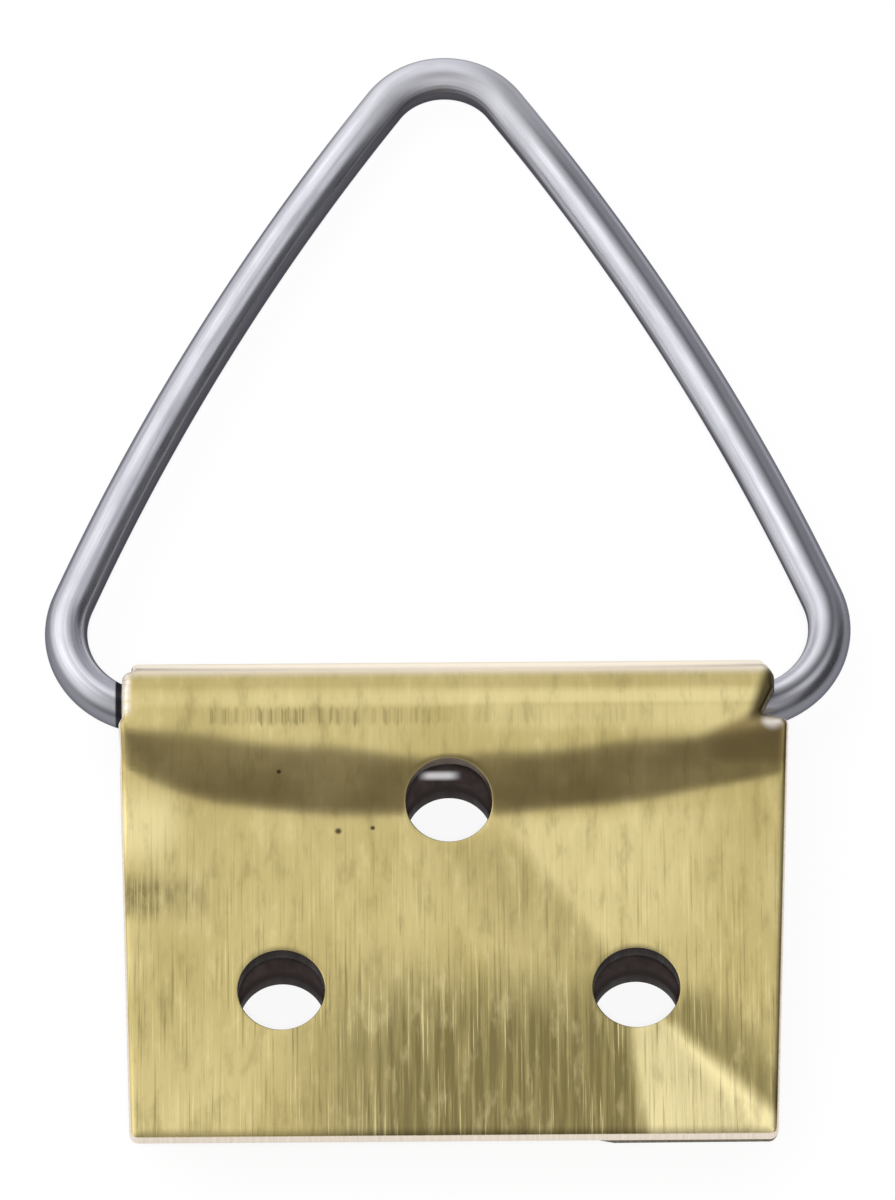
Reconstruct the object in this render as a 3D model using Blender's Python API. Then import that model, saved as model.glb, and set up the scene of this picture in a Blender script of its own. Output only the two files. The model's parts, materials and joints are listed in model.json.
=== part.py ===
"""Triangle picture hanger: a brass strap folded over the base bar of a bent wire triangle.

The part lies on its back leaf. +Z points out of the front leaf and +Y towards the triangle's tip. The
origin is on the back face, on the middle line, halfway between the two rows of screw holes.
Both pieces are modelled about the bar axis, the line that the triangle swings on.
"""

import math

import bmesh
import bpy
from mathutils import Matrix, Vector

MM = 0.001

# Wire triangle, measured along the middle of the wire
WIRE_DIAMETER = 2.0 * MM
TRIANGLE_HEIGHT = 34.0 * MM
TRIANGLE_WIDTH = 35.8 * MM
TIP_BEND_RADIUS = 3.5 * MM
CORNER_BEND_RADIUS = 4.2 * MM
LEG_BOW_RADIUS = 150.0 * MM
BUTT_GAP = 0.6 * MM

# Fits between the wire and the strap
LOOP_CLEARANCE = 0.25 * MM
KNUCKLE_END_CLEARANCE = 0.05 * MM
SHOULDER_CLEARANCE = 0.2 * MM
LEAF_PINCH = 0.1 * MM

# Brass strap, with its lengths measured from the bar axis
SHEET = 1.0 * MM
NOTCH_DEPTH = 0.8 * MM
SHOULDER_SLANT = 0.3 * MM
FRONT_LEAF = 22.5 * MM
BACK_LEAF = 20.8 * MM
SIDE_TAPER = 0.7 * MM
EDGE_ROUND = 0.2 * MM

# Crimp: the slope that the front leaf is pressed into below the knuckle, longest in the middle
CRIMP_START = 0.25 * MM
CRIMP_TOP_SAG = 1.6 * MM
CRIMP_RUN_AT_ENDS = 1.5 * MM
CRIMP_RUN_IN_MIDDLE = 2.7 * MM

# Screw holes, through both leaves
HOLE_DIAMETER = 4.0 * MM
TOP_HOLE_DROP = 5.5 * MM
LOWER_HOLE_DROP = 15.0 * MM
LOWER_HOLE_SPACING = 16.4 * MM
LOWER_PAIR_SHIFT = 0.4 * MM

# Mesh fineness
TIP_STEPS = 14
LEG_STEPS = 10
CORNER_STEPS = 14
LOOP_STEPS = 16
CRIMP_STEPS = 7
COLUMNS = 12
HOLE_SIDES = 32
WIRE_BEVEL_RESOLUTION = 6
EDGE_SEGMENTS = 2
EDGE_ANGLE = math.radians(60)
SMOOTH_ANGLE = math.radians(35)

# Sizes that follow from the ones above
WIRE_RADIUS = WIRE_DIAMETER / 2
LOOP_INNER_RADIUS = WIRE_RADIUS + LOOP_CLEARANCE
LOOP_OUTER_RADIUS = LOOP_INNER_RADIUS + SHEET
LEAF_GAP = WIRE_DIAMETER - LEAF_PINCH
LEAF_STACK = LEAF_GAP + 2 * SHEET
BAR_HEIGHT = LOOP_OUTER_RADIUS
BAR_Y = (TOP_HOLE_DROP + LOWER_HOLE_DROP) / 2
STRAIGHT_BAR = TRIANGLE_WIDTH - 2 * CORNER_BEND_RADIUS
KNUCKLE_REACH = math.sqrt(
    (CORNER_BEND_RADIUS - WIRE_RADIUS) ** 2
    - (CORNER_BEND_RADIUS - LOOP_INNER_RADIUS + KNUCKLE_END_CLEARANCE) ** 2
)
KNUCKLE_HALF_WIDTH = STRAIGHT_BAR / 2 + KNUCKLE_REACH
SHOULDER_HALF_WIDTH = KNUCKLE_HALF_WIDTH + NOTCH_DEPTH
FOOT_HALF_WIDTH = SHOULDER_HALF_WIDTH - SIDE_TAPER
SHOULDER_DROP = WIRE_RADIUS + SHOULDER_CLEARANCE
SHOULDER_FOOT_DROP = SHOULDER_DROP + SHOULDER_SLANT
DROOP_ANGLE = math.asin((BAR_HEIGHT - WIRE_RADIUS) / TRIANGLE_HEIGHT)
BAR_AXIS = Vector((0, BAR_Y, BAR_HEIGHT))


def clear_scene():
    for obj in list(bpy.data.objects):
        bpy.data.objects.remove(obj)


def metal(name, colour, roughness):
    material = bpy.data.materials.new(name)
    material.use_nodes = True
    shader = material.node_tree.nodes["Principled BSDF"]
    shader.inputs["Base Color"].default_value = (*colour, 1)
    shader.inputs["Metallic"].default_value = 1
    shader.inputs["Roughness"].default_value = roughness
    return material


def add_object(name, data, material=None):
    obj = bpy.data.objects.new(name, data)
    bpy.context.scene.collection.objects.link(obj)
    if material:
        data.materials.append(material)
    return obj


# Wire triangle

def arc(centre, radius, start, end, steps):
    """Points on an arc in the plane of the triangle, both ends included."""
    angles = [start + (end - start) * i / steps for i in range(steps + 1)]
    return [centre + radius * Vector((math.cos(a), math.sin(a))) for a in angles]


def leg_bow_centre(tip_centre, corner_centre):
    """Centre of the wide arc that a leg follows, which runs smoothly into the tip and corner bends."""
    to_tip = LEG_BOW_RADIUS - TIP_BEND_RADIUS
    to_corner = LEG_BOW_RADIUS - CORNER_BEND_RADIUS
    across = corner_centre - tip_centre
    along = (to_tip**2 - to_corner**2 + across.length_squared) / (2 * across.length)
    aside = math.sqrt(to_tip**2 - along**2)
    direction = across.normalized()
    inward = Vector((direction.y, -direction.x))
    return tip_centre + direction * along + inward * aside


def direction_angle(vector):
    return math.atan2(vector.y, vector.x)


def half_triangle():
    """Middle of the wire on the +X side, from the tip down the leg and along the bar to the butt."""
    tip_centre = Vector((0, TRIANGLE_HEIGHT - TIP_BEND_RADIUS))
    corner_centre = Vector((STRAIGHT_BAR / 2, CORNER_BEND_RADIUS))
    bow_centre = leg_bow_centre(tip_centre, corner_centre)
    leg_start = direction_angle(tip_centre - bow_centre)
    leg_end = direction_angle(corner_centre - bow_centre)
    right_angle = math.pi / 2
    points = arc(tip_centre, TIP_BEND_RADIUS, right_angle, leg_start, TIP_STEPS // 2)
    points += arc(bow_centre, LEG_BOW_RADIUS, leg_start, leg_end, LEG_STEPS)[1:]
    points += arc(corner_centre, CORNER_BEND_RADIUS, leg_end, -right_angle, CORNER_STEPS)[1:]
    points.append(Vector((BUTT_GAP / 2, 0)))
    return points


def build_wire_triangle():
    right_half = half_triangle()
    left_half = [Vector((-p.x, p.y)) for p in right_half]
    path = left_half[:0:-1] + right_half
    curve = bpy.data.curves.new("wire_triangle", "CURVE")
    curve.dimensions = "3D"
    curve.bevel_depth = WIRE_RADIUS
    curve.bevel_resolution = WIRE_BEVEL_RESOLUTION
    curve.use_fill_caps = True
    spline = curve.splines.new("POLY")
    spline.points.add(len(path) - 1)
    for point, place in zip(spline.points, path):
        point.co = (place.x, place.y, 0, 1)
    wire = add_object("wire_triangle", curve, metal("plated_steel", (0.62, 0.62, 0.66), 0.3))
    wire.location = BAR_AXIS
    wire.rotation_euler.x = -DROOP_ANGLE
    return wire


# Brass strap

def half_width(y):
    """Half the strap's width at a height y above the bar axis: narrow at the knuckle, wide at the shoulders."""
    drop = -y
    if drop <= SHOULDER_DROP:
        return KNUCKLE_HALF_WIDTH
    if drop <= SHOULDER_FOOT_DROP:
        return KNUCKLE_HALF_WIDTH + NOTCH_DEPTH * (drop - SHOULDER_DROP) / SHOULDER_SLANT
    share = (drop - SHOULDER_FOOT_DROP) / (FRONT_LEAF - SHOULDER_FOOT_DROP)
    return SHOULDER_HALF_WIDTH + (FOOT_HALF_WIDTH - SHOULDER_HALF_WIDTH) * share


def crimp_point(across, down):
    """Height and level of the outer face on the crimp, across from -1 to 1, down from 0 to 1."""
    middle = 1 - abs(across) ** 3
    top = SHOULDER_FOOT_DROP + CRIMP_START + CRIMP_TOP_SAG * middle
    run = CRIMP_RUN_AT_ENDS + (CRIMP_RUN_IN_MIDDLE - CRIMP_RUN_AT_ENDS) * middle
    fall = 1 - math.cos(down * math.pi / 2)
    level = LOOP_OUTER_RADIUS - (2 * LOOP_OUTER_RADIUS - LEAF_STACK) * fall
    return -top - run * down, level


def outer_line(across):
    """Outer face of the strap in one column, as (y, z) from the front foot over the knuckle to the back foot."""
    back_level = -LOOP_OUTER_RADIUS
    line = [(-FRONT_LEAF, LEAF_STACK - LOOP_OUTER_RADIUS)]
    line += [crimp_point(across, 1 - i / CRIMP_STEPS) for i in range(CRIMP_STEPS + 1)]
    line += [(-SHOULDER_FOOT_DROP, LOOP_OUTER_RADIUS), (-SHOULDER_DROP, LOOP_OUTER_RADIUS)]
    for i in range(LOOP_STEPS + 1):
        turn = math.pi * i / LOOP_STEPS
        line.append((LOOP_OUTER_RADIUS * math.sin(turn), LOOP_OUTER_RADIUS * math.cos(turn)))
    line += [(-SHOULDER_DROP, back_level), (-SHOULDER_FOOT_DROP, back_level), (-BACK_LEAF, back_level)]
    return line


def strap_sheet():
    """Outer face of the folded strap as a grid, which the sheet's thickness is added to inwards."""
    bm = bmesh.new()
    columns = []
    for j in range(COLUMNS + 1):
        across = 2 * j / COLUMNS - 1
        line = outer_line(across)
        columns.append([bm.verts.new((across * half_width(y), y, z)) for y, z in line])
    for left, right in zip(columns, columns[1:]):
        for i in range(len(left) - 1):
            bm.faces.new((left[i], right[i], right[i + 1], left[i + 1]))
    mesh = bpy.data.meshes.new("brass_strap")
    bm.to_mesh(mesh)
    bm.free()
    mesh.shade_smooth()
    mesh.set_sharp_from_angle(angle=SMOOTH_ANGLE)
    return mesh


def hole_cutter(name, x, drop):
    """Hidden cylinder that cuts one screw hole through both leaves."""
    bm = bmesh.new()
    bmesh.ops.create_cone(
        bm,
        cap_ends=True,
        segments=HOLE_SIDES,
        radius1=HOLE_DIAMETER / 2,
        radius2=HOLE_DIAMETER / 2,
        depth=4 * LOOP_OUTER_RADIUS,
        matrix=Matrix.Translation((x, -drop, 0)),
    )
    mesh = bpy.data.meshes.new(name)
    bm.to_mesh(mesh)
    bm.free()
    cutter = add_object(name, mesh)
    cutter.location = BAR_AXIS
    cutter.hide_render = True
    cutter.display_type = "WIRE"
    return cutter


def build_brass_strap():
    strap = add_object("brass_strap", strap_sheet(), metal("brass", (0.72, 0.6, 0.3), 0.35))
    strap.location = BAR_AXIS
    sheet = strap.modifiers.new("sheet", "SOLIDIFY")
    sheet.thickness = SHEET
    sheet.offset = -1
    sheet.use_even_offset = True
    edges = strap.modifiers.new("edges", "BEVEL")
    edges.width = EDGE_ROUND
    edges.segments = EDGE_SEGMENTS
    edges.limit_method = "ANGLE"
    edges.angle_limit = EDGE_ANGLE
    holes = {
        "top_hole": (0, TOP_HOLE_DROP),
        "left_hole": (LOWER_PAIR_SHIFT - LOWER_HOLE_SPACING / 2, LOWER_HOLE_DROP),
        "right_hole": (LOWER_PAIR_SHIFT + LOWER_HOLE_SPACING / 2, LOWER_HOLE_DROP),
    }
    for name, (x, drop) in holes.items():
        cut = strap.modifiers.new(name, "BOOLEAN")
        cut.operation = "DIFFERENCE"
        cut.solver = "EXACT"
        cut.object = hole_cutter(name, x, drop)
    return strap


clear_scene()
build_brass_strap()
build_wire_triangle()
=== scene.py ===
"""Looks of the triangle picture hanger: a brushed brass strap and a plated wire triangle on a pale floor.

Shapes are worked out in millimetres about the bar axis, the line that the triangle swings on, and become
metres when a mesh is made. On the strap, x runs across and w runs along the flat strip before it is
folded: w is 0 where the front leaf meets the knuckle, negative down the front leaf, and grows over the
fold and down the back leaf.
"""

import json
import math

import bpy
from mathutils import Matrix, Vector
from mathutils.geometry import delaunay_2d_cdt


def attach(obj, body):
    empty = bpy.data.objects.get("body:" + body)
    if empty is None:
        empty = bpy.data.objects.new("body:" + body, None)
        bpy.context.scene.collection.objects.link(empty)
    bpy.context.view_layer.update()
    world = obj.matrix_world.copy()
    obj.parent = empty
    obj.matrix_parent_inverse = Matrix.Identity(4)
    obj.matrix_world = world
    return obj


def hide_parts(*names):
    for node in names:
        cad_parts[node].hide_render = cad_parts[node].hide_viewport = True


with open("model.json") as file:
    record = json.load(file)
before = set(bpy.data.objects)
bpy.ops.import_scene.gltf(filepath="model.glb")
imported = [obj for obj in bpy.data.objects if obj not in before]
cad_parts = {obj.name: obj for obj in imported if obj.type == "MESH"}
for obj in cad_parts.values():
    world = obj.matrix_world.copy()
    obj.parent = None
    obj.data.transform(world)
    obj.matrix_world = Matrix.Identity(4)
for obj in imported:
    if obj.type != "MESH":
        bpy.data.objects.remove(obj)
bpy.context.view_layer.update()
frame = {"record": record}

MM = 0.001
BAR_AXIS = Vector(frame["record"]["behaviour"]["joints"][0]["pos_m"])

# Wire triangle, measured along the middle of the wire
WIRE_RADIUS = 1.0
TRIANGLE_HEIGHT = 34.2
TRIANGLE_WIDTH = 35.8
TIP_BEND_RADIUS = 3.5
CORNER_BEND_RADIUS = 4.2
LEG_BOW_RADIUS = 132.0
BUTT_GAP = 0.6
BUTT_CHAMFER = 0.15
DROOP_ANGLE = math.asin((BAR_AXIS.z / MM - WIRE_RADIUS) / TRIANGLE_HEIGHT)

# Brass strap
SHEET = 1.0
LOOP_RADIUS = 2.25
LOOP_LENGTH = math.pi * LOOP_RADIUS
FRONT_LEAF = 22.4
BACK_LEAF = 20.8
KNUCKLE_HALF_WIDTH = 14.81
NOTCH_DEPTH = 0.8
SHOULDER_DROP = 1.2
SHOULDER_SLANT = 0.3
SHOULDER_FOOT_DROP = SHOULDER_DROP + SHOULDER_SLANT
SIDE_TAPER = 0.7

# Uneven cuts of the strip: leaves a little to the right, a lip at each end of the knuckle, slanted on the
# right, and a slanted back foot with a step, as places across and their extra lengths
SHOULDER_SHIFT = 0.24
FOOT_SHIFT = 0.12
LIP = 0.4
LEFT_LIP_TOP = 1.6
RIGHT_LIP_FOOT = 0.1
RIGHT_LIP_TOP = 0.9
RIGHT_LIP_SLANT = 1.3
RIGHT_NOTCH_CUT = 0.2
BACK_FOOT_SLANT = 0.34
BACK_FOOT_STEP = ((6.2, 0.1), (7.5, 0.36))

# Crimp below the knuckle: where it starts and ends, at the sides and in the middle, how its foot curves,
# how it runs out towards the left side, and its waves and softness
CRIMP_TOP_AT_LEFT = 1.75
CRIMP_TOP_AT_RIGHT = 2.05
CRIMP_TOP_IN_MIDDLE = 3.55
CRIMP_FOOT_AT_LEFT = 3.2
CRIMP_FOOT_AT_RIGHT = 3.9
CRIMP_FOOT_IN_MIDDLE = 6.05
CRIMP_FOOT_POWER_LEFT = 4
CRIMP_FOOT_POWER_RIGHT = 2
CRIMP_FALL = 0.6
CRIMP_LIFT_AT_LEFT = 0.3
CRIMP_LIFT_REACH = 5.0
CRIMP_SLOPE_AT_TOP = 0.8
CRIMP_WAVE = 0.13
CRIMP_WAVE_LENGTH = 6.8
CREASE_SOFTNESS = 0.36

# Screw holes
HOLE_RADIUS = 2.0
TOP_HOLE_DROP = 5.5
LOWER_HOLE_DROP = 15.0
LOWER_HOLE_SPACING = 16.4
LOWER_PAIR_SHIFT = 0.4

# Rounding of the cut edges, on the outer and the inner face of the sheet, and of the outline's corners
SIDE_ROUND = (0.3, 0.38)
FOOT_ROUND = (0.06, 0.38)
HOLE_ROUND = (0.07, 0.2)
FOOT_CORNER = 0.42
SHOULDER_CORNER = 0.42
NOTCH_CORNER = 0.12

# Mesh fineness
GRID_STEP = 0.5
FINE_STEP = 0.25
FINE_BELOW_CRIMP = 1.0
EDGE_STEP = 0.25
EDGE_RINGS = 4
ROLLED_RINGS = 2
SUPPORT_RING = 0.12
GRID_CLEARANCE = 3 * SUPPORT_RING
CORNER_STEPS = 8
CREASE_SAMPLES = 3
SLOPE_STEP = 0.02
HOLE_SIDES = 72
WIRE_SIDES = 40
BEND_STEPS = 36
LEG_STEPS = 48
BAR_STEPS = 8

# Kind of triangulation that leaves out what lies outside the outlines, and the distance at which it joins
# points
INSIDE_OUTLINES = 1
JOIN_DISTANCE = 1e-6

# Finishes of the strap's faces, as places in its list of materials
OUTER_FINISH = 0
INNER_FINISH = 1
# Cut edges painted pale as a highlight, and dark as shade
LIT_EDGE_FINISH = 2
SHADED_EDGE_FINISH = 3


# Outline of the strip

def half_width(y):
    """Half the strap's width at a height y above the bar axis."""
    drop = -y
    wide = KNUCKLE_HALF_WIDTH + NOTCH_DEPTH
    if drop <= SHOULDER_DROP:
        return KNUCKLE_HALF_WIDTH
    if drop <= SHOULDER_FOOT_DROP:
        return KNUCKLE_HALF_WIDTH + NOTCH_DEPTH * (drop - SHOULDER_DROP) / SHOULDER_SLANT
    return wide - SIDE_TAPER * (drop - SHOULDER_FOOT_DROP) / (FRONT_LEAF - SHOULDER_FOOT_DROP)


def height_on_leaf(w):
    """Height above the bar axis of a place on one of the leaves."""
    return w if w < 0 else min(0, LOOP_LENGTH - w)


def strip_outline():
    """Corners of the flat strip with their radii, counter-clockwise from the front foot on the +X side."""
    shoulder = KNUCKLE_HALF_WIDTH + NOTCH_DEPTH
    foot = half_width(-FRONT_LEAF)
    back_notch = LOOP_LENGTH + SHOULDER_DROP
    back_shoulder = LOOP_LENGTH + SHOULDER_FOOT_DROP
    back_foot = half_width(-BACK_LEAF)
    corners = [
        (FOOT_SHIFT + foot, -FRONT_LEAF, FOOT_CORNER),
        (SHOULDER_SHIFT + shoulder, -SHOULDER_FOOT_DROP, SHOULDER_CORNER),
        (KNUCKLE_HALF_WIDTH - RIGHT_NOTCH_CUT, -SHOULDER_DROP, NOTCH_CORNER),
        (KNUCKLE_HALF_WIDTH + LIP, RIGHT_LIP_FOOT, SHOULDER_CORNER),
        (KNUCKLE_HALF_WIDTH + LIP, RIGHT_LIP_TOP, SHOULDER_CORNER),
        (KNUCKLE_HALF_WIDTH, RIGHT_LIP_TOP + RIGHT_LIP_SLANT, NOTCH_CORNER),
        (KNUCKLE_HALF_WIDTH, back_notch, NOTCH_CORNER),
        (SHOULDER_SHIFT + shoulder, back_shoulder, SHOULDER_CORNER),
        (FOOT_SHIFT + back_foot, LOOP_LENGTH + BACK_LEAF + BACK_FOOT_SLANT, FOOT_CORNER),
        *((x, LOOP_LENGTH + BACK_LEAF + extra, FOOT_CORNER) for x, extra in reversed(BACK_FOOT_STEP)),
        (FOOT_SHIFT - back_foot, LOOP_LENGTH + BACK_LEAF - BACK_FOOT_SLANT, FOOT_CORNER),
        (SHOULDER_SHIFT - shoulder, back_shoulder, SHOULDER_CORNER),
        (-KNUCKLE_HALF_WIDTH, back_notch, NOTCH_CORNER),
        (-KNUCKLE_HALF_WIDTH, LEFT_LIP_TOP, NOTCH_CORNER),
        (-KNUCKLE_HALF_WIDTH - LIP, LEFT_LIP_TOP - LIP, SHOULDER_CORNER),
        (-KNUCKLE_HALF_WIDTH - LIP, -SHOULDER_DROP, NOTCH_CORNER),
        (SHOULDER_SHIFT - shoulder, -SHOULDER_FOOT_DROP, SHOULDER_CORNER),
        (FOOT_SHIFT - foot, -FRONT_LEAF, FOOT_CORNER),
    ]
    return [(Vector((x, w)), radius) for x, w, radius in corners]


def rounded_corner(before, corner, after, radius):
    """Points of the arc that rounds one corner."""
    to_before = (before - corner).normalized()
    to_after = (after - corner).normalized()
    half_angle = to_before.angle(to_after) / 2
    middle = (to_before + to_after).normalized()
    centre = corner + middle * radius / math.sin(half_angle)
    start = corner + to_before * radius / math.tan(half_angle)
    end = corner + to_after * radius / math.tan(half_angle)
    first = start - centre
    turn = first.angle_signed(end - centre)
    turns = [-turn * i / CORNER_STEPS for i in range(CORNER_STEPS + 1)]
    return [centre + Matrix.Rotation(angle, 2) @ first for angle in turns]


def outline_loop():
    """The strip's outline as a closed loop of closely spaced points."""
    corners = strip_outline()
    count = len(corners)
    loop = []
    for i, (corner, radius) in enumerate(corners):
        arc_points = rounded_corner(corners[i - 1][0], corner, corners[(i + 1) % count][0], radius)
        if loop:
            loop += between(loop[-1], arc_points[0])
        loop += arc_points
    return loop + between(loop[-1], loop[0])


def between(start, end):
    """Points that split a straight stretch into short steps, without its ends."""
    steps = max(1, round((end - start).length / EDGE_STEP))
    return [start.lerp(end, i / steps) for i in range(1, steps)]


def hole_centres():
    """Places of the six holes on the flat strip: three in each leaf."""
    for start, side in ((0, -1), (LOOP_LENGTH, 1)):
        yield Vector((0, start + side * TOP_HOLE_DROP))
        for half in (-1, 1):
            x = LOWER_PAIR_SHIFT + half * LOWER_HOLE_SPACING / 2
            yield Vector((x, start + side * LOWER_HOLE_DROP))


def hole_loop(centre):
    """A hole's edge, clockwise, so that the sheet lies on its left as it does along the outline."""
    angles = [-2 * math.pi * i / HOLE_SIDES for i in range(HOLE_SIDES)]
    return [centre + HOLE_RADIUS * Vector((math.cos(a), math.sin(a))) for a in angles]


def inward(loop):
    """Direction into the sheet, which lies on the loop's left, at each of its points."""
    directions = [(loop[(i + 1) % len(loop)] - loop[i - 1]).normalized() for i in range(len(loop))]
    return [Vector((-d.y, d.x)) for d in directions]


def inset(loop, distances):
    """The loop moved into the sheet by a distance for each point."""
    return [p + d * n for p, n, d in zip(loop, inward(loop), distances)]


# Folding of the strip

def left_lift(x, y):
    """Share of the crimp's fall that is missing towards the left side, less and less down the leaf."""
    aside = min(max((CRIMP_LIFT_REACH - KNUCKLE_HALF_WIDTH - x) / CRIMP_LIFT_REACH, 0), 1)
    return CRIMP_LIFT_AT_LEFT * aside**2 * (3 - 2 * aside) * (1 + y / FRONT_LEAF)


def front_level(x, y):
    """Level of the front leaf's outer face, pressed down at the crimp."""
    aside = min(1, abs(x) / half_width(y))
    foot_at_side = CRIMP_FOOT_AT_LEFT if x < 0 else CRIMP_FOOT_AT_RIGHT
    top_at_side = CRIMP_TOP_AT_LEFT if x < 0 else CRIMP_TOP_AT_RIGHT
    power = CRIMP_FOOT_POWER_LEFT if x < 0 else CRIMP_FOOT_POWER_RIGHT
    wave = CRIMP_WAVE * math.sin(2 * math.pi * x / CRIMP_WAVE_LENGTH)
    top = CRIMP_TOP_IN_MIDDLE + (top_at_side - CRIMP_TOP_IN_MIDDLE) * aside - wave
    foot = CRIMP_FOOT_IN_MIDDLE + (foot_at_side - CRIMP_FOOT_IN_MIDDLE) * aside**power + wave / 2
    down = min(max((-y - top) / (foot - top), 0), 1)
    fall = CRIMP_SLOPE_AT_TOP * down + (1 - CRIMP_SLOPE_AT_TOP) * down**2
    return LOOP_RADIUS - CRIMP_FALL * fall * (1 - left_lift(x, y))


def soft_level(x, y):
    """The front leaf's level with its crease rounded."""
    offsets = [CREASE_SOFTNESS * i / CREASE_SAMPLES for i in range(-CREASE_SAMPLES, CREASE_SAMPLES + 1)]
    return sum(front_level(x, y + offset) for offset in offsets) / len(offsets)


def outer_place(x, w):
    """Place of the strip's outer face once folded."""
    if w < 0:
        return Vector((x, w, soft_level(x, w)))
    if w < LOOP_LENGTH:
        turn = w / LOOP_RADIUS
        return Vector((x, LOOP_RADIUS * math.sin(turn), LOOP_RADIUS * math.cos(turn)))
    return Vector((x, LOOP_LENGTH - w, -LOOP_RADIUS))


def sheet_place(x, w, depth):
    """Place of a point of the folded sheet, at a depth below its outer face."""
    along = outer_place(x, w + SLOPE_STEP) - outer_place(x, w - SLOPE_STEP)
    aside = outer_place(x + SLOPE_STEP, w) - outer_place(x - SLOPE_STEP, w)
    return outer_place(x, w) - aside.cross(along).normalized() * depth


# Mesh of the strap

def edge_profile(outer_round, inner_round):
    """How far in and how deep each ring of a cut edge lies, from the outer face to the inner face."""
    angles = [math.pi / 2 * i / EDGE_RINGS for i in range(EDGE_RINGS + 1)]
    outer = [(outer_round * (1 - math.sin(a)), outer_round * (1 - math.cos(a))) for a in angles]
    inner = [(inner_round * (1 - math.cos(a)), SHEET - inner_round * (1 - math.sin(a))) for a in angles]
    return outer + inner


def outline_rounding(loop):
    """Outer and inner rounding at each point of the outline, with a sharper outer edge along the feet."""
    side, foot = Vector(SIDE_ROUND), Vector(FOOT_ROUND)
    low = [p.y < -FRONT_LEAF / 2 or p.y > LOOP_LENGTH + BACK_LEAF / 2 for p in loop]
    return [side.lerp(foot, n.y**2 if is_low else 0) for n, is_low in zip(inward(loop), low)]


def edge_finish(point):
    """Finish of the outline's cut edge: pale, a painted highlight, on the front leaf and the left lip, and
    dark, painted shade, elsewhere.
    """
    on_front_leaf = point.y < -SHOULDER_DROP
    on_lip = point.x < 0 and point.y < LEFT_LIP_TOP
    return LIT_EDGE_FINISH if on_front_leaf or on_lip else SHADED_EDGE_FINISH


def grid_points(holes):
    """Points spread over the strip, clear of its edges and holes, closer where the sheet is curved."""
    margin = max(SIDE_ROUND + FOOT_ROUND) + GRID_CLEARANCE
    clear_of_hole = HOLE_RADIUS + max(HOLE_ROUND) + GRID_CLEARANCE
    points = []
    w = -FRONT_LEAF + margin
    while w < LOOP_LENGTH + BACK_LEAF - BACK_FOOT_SLANT - margin:
        half = half_width(height_on_leaf(w)) - margin
        columns = round(2 * half / GRID_STEP)
        row = [Vector((half * (2 * i / columns - 1), w)) for i in range(columns + 1)]
        points += [p for p in row if all((p - hole).length > clear_of_hole for hole in holes)]
        curved = -CRIMP_FOOT_IN_MIDDLE - FINE_BELOW_CRIMP < w < LOOP_LENGTH
        w += FINE_STEP if curved else GRID_STEP
    return points


def fill(loops, spare):
    """Triangles that fill the first loop around the others, through the spare points as well."""
    points = []
    outlines = []
    for loop in loops:
        outlines.append(list(range(len(points), len(points) + len(loop))))
        points += loop
    holes = [ring[::-1] for ring in outlines[1:]]
    points += spare
    result = delaunay_2d_cdt(points, [], [outlines[0], *holes], INSIDE_OUTLINES, JOIN_DISTANCE)
    faces, sources, owners = result[2], result[3], result[5]
    triangles = [[sources[i][0] for i in face] for face, owner in zip(faces, owners) if owner == [0]]
    return points, triangles


def strap_cuts(holes):
    """The strip's outline and holes as loops, with each point's rounding and finish."""
    outline = outline_loop()
    cuts = [(outline, outline_rounding(outline), [edge_finish(point) for point in outline])]
    for centre in holes:
        loop = hole_loop(centre)
        cuts.append((loop, [HOLE_ROUND] * len(loop), [INNER_FINISH] * len(loop)))
    return cuts


def add_wall(cut, ring, flat, faces, finishes):
    """Add the points and faces of a cut edge, from a ring on the outer face to the ring it returns."""
    loop, rounding, wall_finishes = cut
    count = len(loop)
    profiles = [edge_profile(*pair) for pair in rounding]
    for level in range(1, len(profiles[0])):
        next_ring = list(range(len(flat), len(flat) + count))
        moved = inset(loop, [profile[level][0] for profile in profiles])
        flat.extend((p.x, p.y, profile[level][1]) for p, profile in zip(moved, profiles))
        for i in range(count):
            j = (i + 1) % count
            faces.append((ring[i], next_ring[i], next_ring[j], ring[j]))
        finishes.extend([OUTER_FINISH] * count if level <= ROLLED_RINGS else wall_finishes)
        ring = next_ring
    return ring


def strap_parts():
    """Points of the strap's mesh as (x, w, depth), and its faces with the finish of each."""
    holes = list(hole_centres())
    cuts = strap_cuts(holes)
    loops = [inset(loop, [outer for outer, _ in rounding]) for loop, rounding, _ in cuts]
    spare = grid_points(holes)
    for loop, rounding, _ in cuts:
        spare += inset(loop, [max(pair) + SUPPORT_RING for pair in rounding])
    points, triangles = fill(loops, spare)
    flat = [(p.x, p.y, 0) for p in points]
    faces = list(triangles)
    finishes = [OUTER_FINISH] * len(triangles)
    inner_id = {}
    first = 0
    for cut in cuts:
        ring = list(range(first, first + len(cut[0])))
        inner_id.update(zip(ring, add_wall(cut, ring, flat, faces, finishes)))
        first += len(ring)
    for i in range(first, len(points)):
        inner_id[i] = len(flat)
        flat.append((points[i].x, points[i].y, SHEET))
    faces += [[inner_id[i] for i in reversed(face)] for face in triangles]
    finishes += [INNER_FINISH] * len(triangles)
    return flat, faces, finishes


def add_piece(name, mesh, body):
    """Add an object for a mesh made about the bar axis, in place of the CAD node of that name."""
    mesh.transform(Matrix.Translation(BAR_AXIS) @ Matrix.Scale(MM, 4))
    mesh.shade_smooth()
    piece = bpy.data.objects.new(name + "_finish", mesh)
    bpy.context.scene.collection.objects.link(piece)
    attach(piece, body)
    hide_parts(name)


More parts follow.
